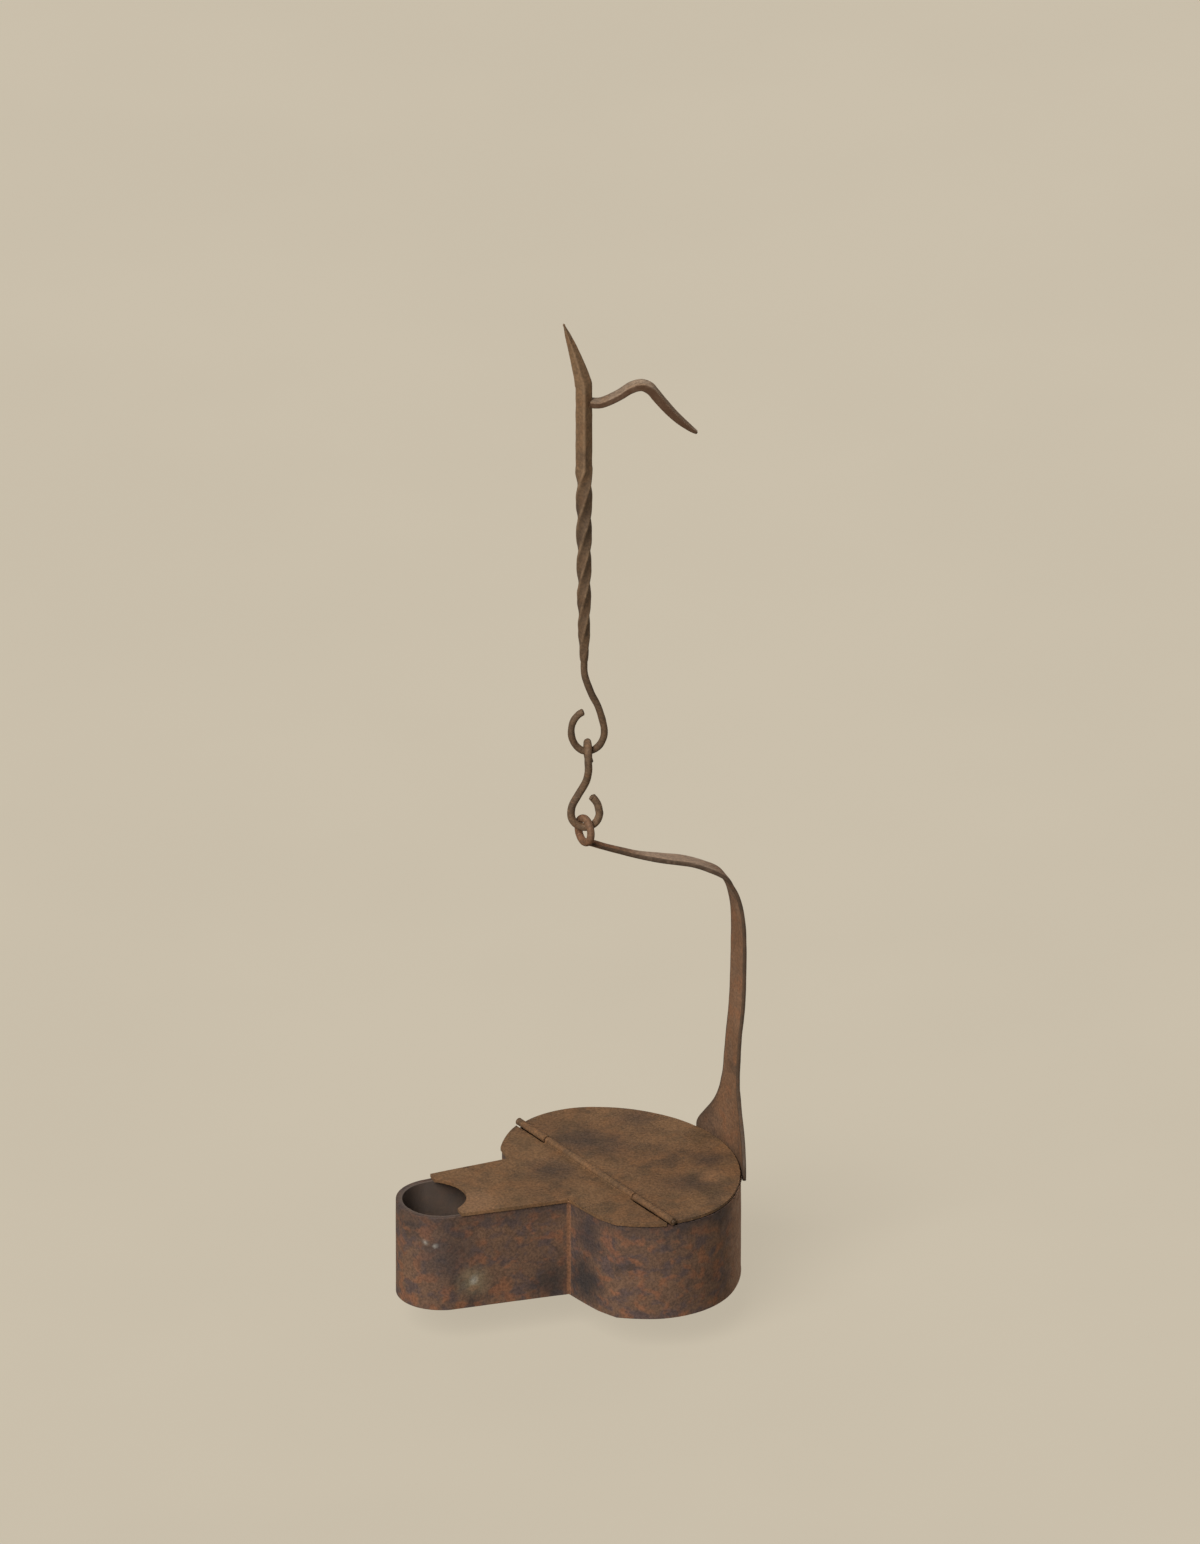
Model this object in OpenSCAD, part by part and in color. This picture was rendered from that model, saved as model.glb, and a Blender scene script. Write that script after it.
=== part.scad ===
// Hanging grease lamp of wrought and sheet iron: a covered oval font with an
// open spout, a hinged lid, a strap handle with an eye, an S-shaped link and a
// twisted hanger with a spike and a side arm.
// Millimetres. +Z is up, the spout points to -X, the origin is the spike's tip.

/* [Font] */
// Outside width of the oval drum of the font
drum_w = 81.6; // [79:0.2:84]
// Outside depth of the drum from back to front, before its front is flattened
drum_d = 67.8; // [66:0.2:70]
// Radius of the drum's two round ends
end_r = 26.4; // [25:0.2:28]
// Height of the font from its underside to the top of the lid
font_h = 32; // [28:0.2:36]
// Distance from the drum's axis to the middle of its flattened front
front_reach = 25.4; // [24.8:0.1:26]
// Radius of the flattened front
front_r = 250; // [200:10:300]
// Distance from the drum's axis to the arc that eases the front into the drum
shoulder_reach = 27.1; // [26.8:0.1:27.4]
// Radius of that easing arc
shoulder_r = 96; // [92:1:100]
// Distance from the drum's axis to the centre of the spout's round end
spout_len = 56.9; // [52:0.1:64]
// Width of the spout where it meets the drum
spout_root_w = 30.8; // [28:0.2:33]
// Width of the spout at its round end
spout_tip_w = 26.6; // [24:0.2:28]
// Angle of the drum and the hinge line from square to the spout
skew = 15; // [10:0.5:17]
// Thickness of the drum's wall
drum_wall_t = 1; // [0.8:0.1:1.4]
// Thickness of the spout's wall
spout_wall_t = 2.1; // [1.6:0.1:2.4]
// Thickness of the floor
floor_t = 1.2; // [0.8:0.1:1.8]
// Gap of the brazed joint between the floor and the walls
braze_gap = 0.05; // [0.02:0.01:0.1]

/* [Cover and lid] */
// Thickness of the fixed front cover
cover_t = 1.2; // [0.8:0.1:1.6]
// Thickness of the hinged lid
lid_t = 1; // [0.8:0.1:1]
// Amount by which the front cover stands out past the walls
cover_lip = 0.4; // [0:0.1:0.8]
// Amount by which the lid is held in from the outside of the wall
lid_inset = 0.3; // [0.2:0.1:0.6]
// Distance from the drum's axis to the square ends of the cover's two horns
horn_reach = 55.2; // [50:0.2:56]
// Radius of the round cut in the nose of the cover
nose_cut_r = 11.5; // [10:0.1:12]
// Distance from the drum's axis to the deepest point of the nose cut
nose_cut_reach = 49.4; // [47:0.2:52]
// Distance from the drum's axis to the hinge line
hinge_x = 9.4; // [6:0.2:13]
// Outside diameter of the hinge knuckles
knuckle_d = 2.4; // [2:0.1:3]
// Diameter of the hinge pin
pin_d = 1.2; // [0.8:0.1:1.4]
// Radial clearance of the pin in the knuckles
pin_clear = 0.05; // [0.02:0.01:0.1]
// Half length of the long middle knuckle
mid_knuckle = 22.4; // [16:0.2:26]
// Gap between neighbouring knuckles, and between a plate and a knuckle
knuckle_gap = 0.35; // [0.3:0.05:0.6]
// Length of hinge that stands out past the drum at either end
hinge_proud = 0.8; // [0.2:0.1:1.5]

/* [Handle] */
// Width of the strap half way up
strap_w = 11.4; // [10:0.2:12]
// Thickness of the strap and of its foot
strap_t = 1.5; // [1.3:0.1:2]
// Gap between the foot and the drum wall
foot_gap = 0.1; // [0.05:0.05:0.2]
// Half width of the foot across its two wings
foot_half_w = 17.4; // [15:0.1:17.4]
// Height of the underside of the wings' tips, below the lid if negative
wing_z = -2.8; // [-4:0.2:1]
// Radius of the hollow curve under each wing
under_r = 12; // [12:0.2:14]
// Width of the foot's tongue, which is riveted to the drum
tongue_w = 11; // [11:0.2:12]
// Radius of the tongue's lower corners
tongue_r = 3; // [1:0.5:5]
// Height of the tongue's lower end above the underside of the font
foot_rise = 4.5; // [3:0.1:5]
// Radius of the hollow curve from each wing up to the strap
flare_r = 30; // [28:1:34]
// Height above the lid at which those curves have become the strap
flare_z = 28; // [26:0.5:30]
// Length by which the upright leans out past its foot
lean_out = 1.9; // [0:0.1:3]
// Height of the handle's upper corner above the lid
corner_z = 91; // [86:0.5:96]
// Length by which that corner leans in towards the lamp's middle
corner_in = 3.2; // [2:0.2:6]
// Bow of the arm above the straight line from the corner to the eye
arm_bow = 0.9; // [0:0.1:1.5]
// Distance from the drum's axis to the eye, towards the spout
eye_x = 11.23; // [8:0.01:14]
// Height of the eye's bearing above the lid
eye_z = 116.4; // [110:0.2:124]
// Mean radius of the eye
eye_r = 3.7; // [3.6:0.1:4.4]
// Slope of the eye from level
eye_slope = 93; // [88:1:100]
// Turn of the eye about the vertical
eye_turn = 10; // [0:1:12]
// Diameter of the handle's rivets
rivet_d = 2.6; // [2:0.1:3.2]
// Diameter of the rivets' heads
rivet_head_d = 4.6; // [4:0.1:5.4]
// Height of the rivets' heads
rivet_head_h = 1.1; // [0.8:0.1:1.4]
// Radial clearance of a rivet in its hole
rivet_clear = 0.05; // [0.02:0.01:0.1]
// Depth of the top rivet below the lid
rivet_drop = 8; // [7:0.2:9]
// Distance between neighbouring rivets
rivet_step = 7.2; // [6.4:0.1:7.4]

/* [Wick support] */
// Outside radius of the half-round trough
trough_r = 5.2; // [4:0.1:6.5]
// Thickness of the trough
trough_t = 1.1; // [0.8:0.1:1.3]
// Slope of the trough, rising towards the spout
trough_slope = 17; // [14:0.5:18]
// Distance from the drum's axis to the upper end of the trough
trough_front = 61; // [57:0.5:63]
// Distance from the drum's axis to the lower end of the trough
trough_back = 20; // [17:0.5:24]
// Length of the flat tab behind the trough
tab_len = 11; // [9:0.5:14]
// Distance from the drum's axis to the leg under the trough
leg_x = 54; // [48:0.5:57]

/* [Link] */
// Diameter of the iron wire of the link, the hanger's hook and the eye
wire_d = 2.3; // [2:0.1:2.4]
// Gap at each bearing between two hooked pieces
hook_gap = 0.35; // [0.3:0.05:0.5]
// Drop from the hanger's hook to the bottom of the link's lower hook
link_len = 25; // [23:0.5:30]
// Mean half width of the link's lower hook
link_hook_w = 4.2; // [4:0.1:5]
// Mean depth of the link's lower hook
link_hook_h = 4.6; // [4.4:0.1:5.4]
// Offset of the link's lower hook from the line of hang
link_shift = 0.75; // [0:0.05:1]
// Length of the tail behind the link's upper hook
link_tail = 5.2; // [3:0.2:6]
// Lean of that tail to the side
tail_lean = 0.8; // [0:0.1:1.5]

/* [Hanger] */
// Turn of the hanger and the link about the vertical
hanger_turn = -16; // [-25:1:0]
// Side of the square bar
bar_side = 4; // [3.4:0.1:4.6]
// Offset of the bar from the line of hang
bar_x = -1.1; // [-2:0.1:1]
// Height of the straight plain bar
bar_len = 26.5; // [20:0.5:34]
// Height of the twisted part of the bar
twist_len = 63.5; // [50:0.5:80]
// Turns of twist, left-handed
twist_turns = 1.5; // [1:0.25:2.5]
// Height of the neck, from the bottom of the hook to the twist
neck_h = 29.5; // [27:0.5:34]
// Mean half width of the hanger's hook
hook_w = 4.9; // [4.6:0.1:6]
// Mean half height of the hanger's hook
hook_h = 6.6; // [6:0.1:7.5]
// Height of the spike above the bar
spike_len = 20.7; // [14:0.1:28]
// Lean of the spike's tip from the bar
spike_lean = 6; // [0:0.1:8]
// Reach of the side arm's tip from the line of hang
arm_reach = 32.2; // [28:0.1:38]
// Depth of the side arm's root below the top of the bar
arm_drop = 5.2; // [4:0.1:8]
// Rise of the side arm's bend above its root
arm_rise = 5.2; // [4:0.1:8]
// Fall of the side arm's tip below its root
arm_fall = 10.8; // [8:0.1:13]
// Width of the side arm
arm_w = 4.2; // [3:0.1:5]
// Thickness of the side arm
arm_t = 1.9; // [1.4:0.1:2.6]
// Depth of the side arm's seat in the bar
arm_seat = 0.9; // [0.6:0.1:1.2]

/* [Hidden] */
$fn = 96;

// Colours of the iron
bar_iron = "#5b4632";
wall_iron = "#5a3a29";
plate_iron = "#6a4f36";
dark_iron = "#33281f";

// Small length that makes cuts pass clear of a face
past = 1;
// Sides of a swept bar or wire
sides = 16;
// Squareness of a swept section: round wire, a strap that narrows to a rod, flat strap, square bar
round_sq = 2;
narrow_sq = 3.5;
strap_sq = 5;
bar_sq = 10;

wire_r = wire_d / 2;
// Distance between the middles of two hooked wires
hook_step = wire_d + hook_gap;

// Heights in the lamp's own frame, where the top of the lid is zero
floor_z = -font_h;
floor_top = floor_z + floor_t;
wall_top = -cover_t;

// The spike's tip in the hanger's frame, whose origin is the hook's bearing
bar_foot = neck_h + twist_len;
bar_top = bar_foot + bar_len;
hanger_h = bar_top + spike_len;
spike_tip = [bar_x - spike_lean, 0, hanger_h];

// The hook's bearing and the lamp's frame, seen from the spike's tip
turned_tip = [spike_tip.x * cos(hanger_turn), spike_tip.x * sin(hanger_turn), hanger_h];
hang_point = -turned_tip;
eye_drop = link_len - hook_step;
// The level directions along the link's lower hook and across the eye
hook_along = [cos(hanger_turn), sin(hanger_turn), 0];
eye_across = [-sin(eye_turn), cos(eye_turn), 0];
lamp_point = hang_point - hook_along * link_shift + [eye_x, 0, -eye_drop - eye_z];

// Vectors and curves

function unit(v) = v / norm(v);

// A point on the smooth curve through four points, between the second and third
function curve_point(a, b, c, d, t) =
    0.5 * (2 * b + (c - a) * t + (2 * a - 5 * b + 4 * c - d) * t * t
           + (3 * b - a - 3 * c + d) * t * t * t);

// A smooth curve through all the keys, with some steps between each pair
function smooth(keys, steps) = let (last = len(keys) - 1)
    [for (i = [0:last - 1]) each
        [for (j = [0:steps - 1])
            curve_point(keys[max(i - 1, 0)], keys[i], keys[i + 1], keys[min(i + 2, last)], j / steps)],
     keys[last]];

// The points of a curve from one place in it to another
function trim(curve, first, last) = [for (i = [first:last]) curve[i]];

// Direction of a path at one of its points
function heading(path, i, closed) = let (n = len(path))
    closed ? unit(path[(i + 1) % n] - path[(i + n - 1) % n])
           : unit(path[min(i + 1, n - 1)] - path[max(i - 1, 0)]);

// Corners of a section with half sizes, squareness and turn [a, b, squareness, turn]
function section(p, along, ref, size) =
    let (e1 = unit(cross(ref, along)), e2 = cross(along, e1))
    [for (k = [0:sides - 1])
        let (c = cos(360 * k / sides), s = sin(360 * k / sides),
             m = pow(pow(abs(c), size[2]) + pow(abs(s), size[2]), -1 / size[2]),
             u = size[0] * m * c, w = size[1] * m * s)
        p + e1 * (u * cos(size[3]) - w * sin(size[3])) + e2 * (u * sin(size[3]) + w * cos(size[3]))];

// A bar or wire along a path, with one section for each point of the path
module sweep(path, sizes, ref, closed = false) {
    n = len(path);
    corners = [for (i = [0:n - 1]) each section(path[i], heading(path, i, closed), ref, sizes[i])];
    spans = closed ? n - 1 : n - 2;
    skin = [for (i = [0:spans], k = [0:sides - 1])
        let (j = (i + 1) % n, l = (k + 1) % sides,
             a = i * sides + k, b = i * sides + l, c = j * sides + l, d = j * sides + k)
        each [[a, d, c], [a, c, b]]];
    caps = closed ? [] : [[for (k = [0:sides - 1]) k],
                          [for (k = [sides - 1:-1:0]) (n - 1) * sides + k]];
    polyhedron(corners, concat(skin, caps), convexity = 6);
}

// Round wire along a path
module wire(path, ref, closed = false)
    sweep(path, [for (p = path) [wire_r, wire_r, round_sq, 0]], ref, closed);

// A short true cylinder on a hinge axis, a little stouter than the wire
module bearing(along) {
    bearing_len = 1;
    bearing_swell = 0.03;
    rotate(along) cylinder(r = wire_r + bearing_swell, h = bearing_len, center = true);
}

// Places of the three hung groups

module in_hanger() translate(hang_point) rotate([0, 0, hanger_turn]) children();
module in_lamp() translate(lamp_point) children();
// The hinge's own frame: its Y runs along the pin, its X towards the back
module in_hinge() translate([-hinge_x, 0, hinge_z]) rotate([0, 0, skew]) children();

// Plan of the font

// The oval is four arcs that run smoothly into each other: two round ends and
// two flatter sides, of which one is the drum's back and one its front
side_r = (pow(drum_w / 2, 2) + pow(drum_d / 2, 2) - drum_w * end_r) / (drum_d - 2 * end_r);
// Distances of the arcs' centres from the drum's axis
side_in = side_r - drum_d / 2;
end_in = drum_w / 2 - end_r;
// Centre of the back's arc
back_mid = [-side_in * cos(skew), -side_in * sin(skew), 0];

// The whole oval, grown by an amount
module oval_plan(grow) {
    reach = 2 * side_r / side_in;
    for (side = [-1, 1]) rotate(skew) {
        translate([0, side * end_in]) circle(r = end_r + grow);
        intersection() {
            translate([-side * side_in, 0]) circle(r = side_r + grow);
            polygon([[-side * side_in, 0],
                     [side * side_in * (reach - 1), reach * end_in],
                     [side * side_in * (reach - 1), -reach * end_in]]);
        }
    }
}

// The drum: the oval with its front flattened, grown by an amount
module drum_plan(grow) {
    intersection() {
        oval_plan(grow);
        rotate(skew) translate([shoulder_r - shoulder_reach, 0]) circle(r = shoulder_r + grow);
        rotate(skew) translate([front_r - front_reach, 0]) circle(r = front_r + grow);
    }
}

// Half width of the spout at a distance in front of the drum's axis
function spout_half(x) =
    (spout_tip_w + (spout_root_w - spout_tip_w) * (spout_len - x) / (spout_len - front_reach)) / 2;

// The spout, from the drum's axis to its round end
module spout_plan(grow) {
    translate([-spout_len, 0]) circle(r = spout_tip_w / 2 + grow);
    polygon([[-spout_len, -spout_tip_w / 2 - grow], [0, -spout_half(0) - grow],
             [0, spout_half(0) + grow], [-spout_len, spout_tip_w / 2 + grow]]);
}

module font_plan(grow) {
    drum_plan(grow);
    spout_plan(grow);
}

// Hinge

// Height of the pin, which lifts the knuckles clear of the wall's top
hinge_z = wall_top + knuckle_gap + knuckle_d / 2;
// How far the hinge reaches either way along its line, out to the drum's rim
hinge_mid = hinge_x * sin(skew);
hinge_span = end_in + sqrt(end_r * end_r - pow(hinge_x * cos(skew), 2));
hinge_far = hinge_span - hinge_mid + hinge_proud;
hinge_near = -hinge_span - hinge_mid - hinge_proud;
// Distance from the hinge line to the edge of a plate that passes a knuckle
edge_back = knuckle_d / 2 + knuckle_gap;

// A knuckle between two places on the hinge line
module knuckle(from, to)
    translate([0, from, 0]) rotate([-90, 0, 0]) cylinder(d = knuckle_d, h = to - from);

// The bore for the pin, right through
module pin_bore()
    translate([0, hinge_near - past, 0]) rotate([-90, 0, 0])
        cylinder(r = pin_d / 2 + pin_clear, h = hinge_far - hinge_near + 2 * past);

// The part of a plan on one side of the hinge line: side 1 is behind it, -1 in front
module hinge_side(side, from, to, edge) {
    reach = 2 * drum_w;
    translate([-hinge_x, 0]) rotate(skew)
        translate([side > 0 ? edge : -edge - reach, from]) square([reach, to - from]);
}

// Font

module drum_wall() color(wall_iron) in_lamp() {
    difference() {
        translate([0, 0, floor_z]) linear_extrude(wall_top - floor_z) difference() {
            drum_plan(0);
            drum_plan(-drum_wall_t);
            spout_plan(0);
        }
        rivet_places() rivet_hole();
    }
}

module spout_wall() color(wall_iron) in_lamp()
    translate([0, 0, floor_z]) linear_extrude(wall_top - floor_z) difference() {
        spout_plan(0);
        spout_plan(-spout_wall_t);
        drum_plan(-drum_wall_t);
    }

module floor_plate() color(wall_iron) in_lamp() difference() {
    translate([0, 0, floor_z]) linear_extrude(floor_t) {
        drum_plan(-drum_wall_t - braze_gap);
        spout_plan(-spout_wall_t - braze_gap);
    }
    tab_rivet_hole();
}

// Wick support

tab_t = trough_t;
tab_w = 2 * (trough_r - trough_t);
tab_end = trough_back - tab_len;
// Height of the trough's axis at its lower end, where its underside meets the floor
trough_low = floor_top + trough_r * cos(trough_slope);
trough_run = (trough_front - trough_back) / cos(trough_slope);
tab_rivet_x = tab_end + tab_len / 3;

module tab_rivet_hole()
    translate([-tab_rivet_x, 0, floor_z - past])
        cylinder(d = rivet_d + 2 * rivet_clear, h = floor_t + tab_t + 2 * past);

module wick_support() color(dark_iron) in_lamp() {
    leg_top = trough_low + (leg_x - trough_back) * tan(trough_slope)
              - (trough_r - trough_t / 2) / cos(trough_slope);
    // The tab starts under the trough, where the two are one sheet
    tab_start = trough_back + trough_r * sin(trough_slope) + 2 * tab_t;
    difference() {
        union() {
            // The half-round trough
            intersection() {
                translate([-trough_back, 0, trough_low]) rotate([0, trough_slope - 90, 0])
                    linear_extrude(trough_run) difference() {
                        circle(r = trough_r);
                        circle(r = trough_r - trough_t);
                        translate([0, -2 * trough_r]) square([2 * trough_r, 4 * trough_r]);
                    }
                translate([-2 * trough_front, -drum_d, floor_top])
                    cube([4 * trough_front, 2 * drum_d, font_h]);
            }
            // The flat tab that is riveted to the floor
            translate([-tab_start, -tab_w / 2, floor_top]) cube([tab_start - tab_end, tab_w, tab_t]);
            // The leg under the upper end
            translate([-leg_x, -trough_r / 2, floor_top])
                cube([trough_t, trough_r, leg_top - floor_top]);
        }
        tab_rivet_hole();
    }
}

module wick_support_rivet() color(dark_iron) in_lamp() {
    translate([-tab_rivet_x, 0, floor_z]) {
        cylinder(d = rivet_d, h = floor_t + tab_t + rivet_clear);
        translate([0, 0, floor_t + tab_t]) rivet_head();
    }
}

// Cover, lid and hinge pin

module front_cover() color(plate_iron) in_lamp() difference() {
    union() {
        translate([0, 0, -cover_t]) linear_extrude(cover_t) difference() {
            intersection() {
                font_plan(cover_lip);
                union() {
                    hinge_side(-1, -mid_knuckle, mid_knuckle, 0);
                    hinge_side(-1, -drum_w, drum_w, edge_back);
                }
            }
            // The round nose cut between two square-ended horns
            translate([-nose_cut_reach - nose_cut_r, 0]) circle(r = nose_cut_r);
            translate([-horn_reach - 2 * drum_d, -drum_d]) square(2 * drum_d);
        }
        in_hinge() knuckle(-mid_knuckle, mid_knuckle);
    }
    in_hinge() pin_bore();
}

module lid() color(plate_iron) in_lamp() difference() {
    lid_knuckle = mid_knuckle + knuckle_gap;
    union() {
        translate([0, 0, -lid_t]) linear_extrude(lid_t) intersection() {
            drum_plan(-lid_inset);
            union() {
                hinge_side(1, -drum_w, drum_w, edge_back);
                hinge_side(1, -drum_w, -lid_knuckle, 0);
                hinge_side(1, lid_knuckle, drum_w, 0);
            }
        }
        in_hinge() {
            knuckle(hinge_near, -lid_knuckle);
            knuckle(lid_knuckle, hinge_far);
        }
    }
    in_hinge() pin_bore();
}

module hinge_pin() color(bar_iron) in_lamp() in_hinge() {
    pin_proud = 0.3;
    translate([0, hinge_near - pin_proud, 0]) rotate([-90, 0, 0])
        cylinder(d = pin_d, h = hinge_far - hinge_near + 2 * pin_proud);
}

// Handle

foot_low = floor_z + foot_rise;
// The strap's middle stands over the back of the drum
strap_x = back_mid.x + sqrt(pow(side_r + foot_gap + strap_t / 2, 2) - pow(back_mid.y, 2));
// Half width of the strap at the top of its foot
flare_half = 0.45 * strap_w;

// Outline of the foot seen from behind, across and up: two wings over a tongue
module foot_outline() {
    under_z = wing_z - under_r;
    beside = foot_half_w - tongue_w / 2 + past;
    difference() {
        translate([-foot_half_w, foot_low]) square([2 * foot_half_w, flare_z - foot_low]);
        for (side = [-1, 1]) {
            // The hollow curves over and under a wing, and the space beside the tongue
            translate([side * (flare_half + flare_r), flare_z]) circle(r = flare_r);
            translate([side * (tongue_w / 2 + under_r), under_z]) circle(r = under_r);
            translate([side > 0 ? tongue_w / 2 : -tongue_w / 2 - beside, foot_low - past])
                square([beside, under_z - foot_low + past]);
            // The tongue's rounded lower corner
            translate([side * (tongue_w / 2 - tongue_r), foot_low + tongue_r]) difference() {
                translate([side > 0 ? 0 : -tongue_r - past, -tongue_r - past])
                    square(tongue_r + past);
                circle(r = tongue_r);
            }
        }
    }
}

// The strap's path seen from the side, as [x, z, half thickness, half width, squareness]
eye_dir = [-cos(eye_slope), 0, sin(eye_slope)];
eye_bearing = [-eye_x, 0, eye_z];
eye_mid = eye_bearing - eye_dir * eye_r;
eye_root = eye_mid - eye_dir * eye_r;
corner_x = strap_x - corner_in;

// A key on the arm: share of the way from the corner to the eye, shares of the bow and the width, squareness
function arm_key(share, bow, width, sq) =
    [corner_x + (eye_root.x - corner_x) * share, corner_z + (eye_root.z - corner_z) * share + arm_bow * bow,
     strap_t / 2 + (wire_r - strap_t / 2) * share, wire_r + (strap_w / 2 - wire_r) * width, sq];

// A key on the upright: shares of the lean, of the corner's height and of the strap's width
function upright_key(lean, height, width) =
    [strap_x + lean_out * lean, corner_z * height, strap_t / 2, strap_w / 2 * width, strap_sq];

// The upright starts a little way down inside the foot
strap_keys = [
    [strap_x, 0.75 * flare_z, strap_t / 2, flare_half, strap_sq],
    upright_key(0.35, 0.4, 0.94),
    upright_key(0.75, 0.5, 1),
    upright_key(1, 0.6, 1.04),
    upright_key(1.1, 0.77, 1),
    upright_key(0.85, 0.86, 0.92),
    upright_key(0.2, 0.925, 0.86),
    upright_key(-0.7, 0.967, 0.8),
    arm_key(0, 0, 0.7, strap_sq),
    arm_key(0.1, 1.2, 0.54, strap_sq),
    arm_key(0.24, 1.7, 0.43, strap_sq),
    arm_key(0.42, 0.7, 0.36, strap_sq),
    arm_key(0.61, -0.2, 0.14, narrow_sq),
    arm_key(0.83, -0.1, 0.02, round_sq),
    arm_key(0.95, 0.2, 0, round_sq),
    arm_key(1, 0, 0, round_sq)];

module handle() color(bar_iron) in_lamp() {
    strap = smooth(strap_keys, 5);
    eye_steps = 36;
    eye_path = [for (i = [0:eye_steps - 1]) let (a = 360 * i / eye_steps)
        eye_mid + eye_dir * eye_r * cos(a) + eye_across * eye_r * sin(a)];
    eye_face = unit(cross(eye_dir, eye_across));
    difference() {
        intersection() {
            translate([0, 0, foot_low]) linear_extrude(flare_z - foot_low) difference() {
                oval_plan(foot_gap + strap_t);
                oval_plan(foot_gap);
            }
            rotate([90, 0, 90]) linear_extrude(drum_w) foot_outline();
        }
        rivet_places() rivet_hole();
    }
    sweep([for (k = strap) [k[0], 0, k[1]]], [for (k = strap) [k[2], k[3], k[4], 0]], [0, 1, 0]);
    wire(eye_path, eye_face, true);
    translate(eye_bearing) rotate([0, 0, eye_turn]) bearing([90, 0, 0]);
}

// Rivets

rivet_count = 3;
// Turn about the centre of the back's arc that brings the rivets behind the strap
rivet_turn = asin(-back_mid.y / side_r);
// Distances from that centre to the inside of the wall and the outside of the foot
rivet_in = side_r - drum_wall_t;
rivet_out = side_r + foot_gap + strap_t;

// Places children at each rivet, with their Z pointing out through the wall
module rivet_places()
    translate(back_mid) rotate([0, 0, rivet_turn]) for (i = [0:rivet_count - 1])
        translate([0, 0, -rivet_drop - rivet_step * i]) rotate([0, 90, 0]) children();

module rivet_hole()
    translate([0, 0, rivet_in - 2 * past])
        cylinder(d = rivet_d + 2 * rivet_clear, h = rivet_out - rivet_in + 4 * past);

// A low domed head that stands on a surface
module rivet_head() {
    head_r = rivet_head_d / 2;
    ball_r = (head_r * head_r + rivet_head_h * rivet_head_h) / (2 * rivet_head_h);
    intersection() {
        translate([0, 0, rivet_head_h - ball_r]) sphere(r = ball_r);
        translate([0, 0, rivet_clear]) cylinder(d = 2 * rivet_head_d, h = rivet_head_h);
    }
}

module handle_rivets() color(bar_iron) in_lamp() rivet_places() {
    // The inner head's flat seat clears the hollow of the wall behind it
    seat = sqrt(rivet_in * rivet_in - pow(rivet_head_d / 2, 2)) - rivet_clear;
    translate([0, 0, seat]) cylinder(d = rivet_d, h = rivet_out - seat + 2 * rivet_clear);
    translate([0, 0, rivet_out]) rivet_head();
    translate([0, 0, seat]) mirror([0, 0, 1]) translate([0, 0, -rivet_clear]) rivet_head();
}

// Link

// Middle of the link's lower hook
bow_z = link_hook_h - link_len;

// A key on the shank: shares of the hook's width, of its offset, of the upper hook's depth and of the drop
function shank_key(aside, shift, behind, drop) =
    [link_hook_w * aside - link_shift * shift, -hook_step * behind, bow_z * drop];

// A key on the turned-up end of the lower hook: shares of its width and its depth
function end_key(aside, up) = [link_hook_w * aside - link_shift, 0, bow_z + link_hook_h * up];

module link() color(bar_iron) in_hanger() {
    arch_steps = 16;
    bow_steps = 28;
    shank_steps = 5;
    end_steps = 4;
    tail_steps = 4;
    arch = [for (i = [0:arch_steps]) let (a = 180 * i / arch_steps)
        [0, hook_step * cos(a), hook_step * sin(a)]];
    bow = [for (i = [0:bow_steps]) let (a = 180 + 180 * i / bow_steps)
        [link_hook_w * cos(a) - link_shift, 0, bow_z + link_hook_h * sin(a)]];
    tail = [for (i = [0:tail_steps - 1]) let (share = 1 - i / tail_steps)
        [tail_lean * share * share, hook_step, -link_tail * share]];
    shank_keys = [arch[arch_steps],
                  shank_key(0, 0, 1, 0.12),
                  shank_key(0, 0, 0.85, 0.29),
                  shank_key(-0.07, 0.6, 0.3, 0.49),
                  shank_key(-0.55, 0.8, 0, 0.71),
                  shank_key(-0.9, 1, 0, 0.87),
                  bow[0], bow[3]];
    end_keys = [bow[bow_steps - 1], bow[bow_steps], end_key(0.85, 0.65), end_key(0.45, 1.2)];
    shank = trim(smooth(shank_keys, shank_steps), 1, (len(shank_keys) - 2) * shank_steps - 1);
    end = trim(smooth(end_keys, end_steps), end_steps + 1, (len(end_keys) - 1) * end_steps);
    wire(concat(tail, arch, shank, bow, end), unit([1, 1, 0]));
}

// Hanger

// Turn of the plain bar, which brings one of its edges to the front
edge_turn = 45;

// Turn of the square bar at a height, with a left-handed twist
function bar_turn(z) = edge_turn + 360 * twist_turns * min(max((bar_foot - z) / twist_len, 0), 1);

// Half side of the bar at a height, drawn down from the twist to the hook's wire
twist_half = 0.52 * bar_side;
twist_taper = 0.45;
function bar_half(z) =
    z > bar_foot ? bar_side / 2
    : wire_r + (twist_half - wire_r) * pow(max((z - neck_h) / twist_len, 0), twist_taper);

// Half side of the spike at a share of its length, from its swollen root to its blunt tip
spike_root = 0.53 * bar_side;
spike_taper = 0.6;
spike_blunt = 0.2;
function spike_half(share) = max(spike_root * pow(1 - share, spike_taper), spike_blunt);

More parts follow.
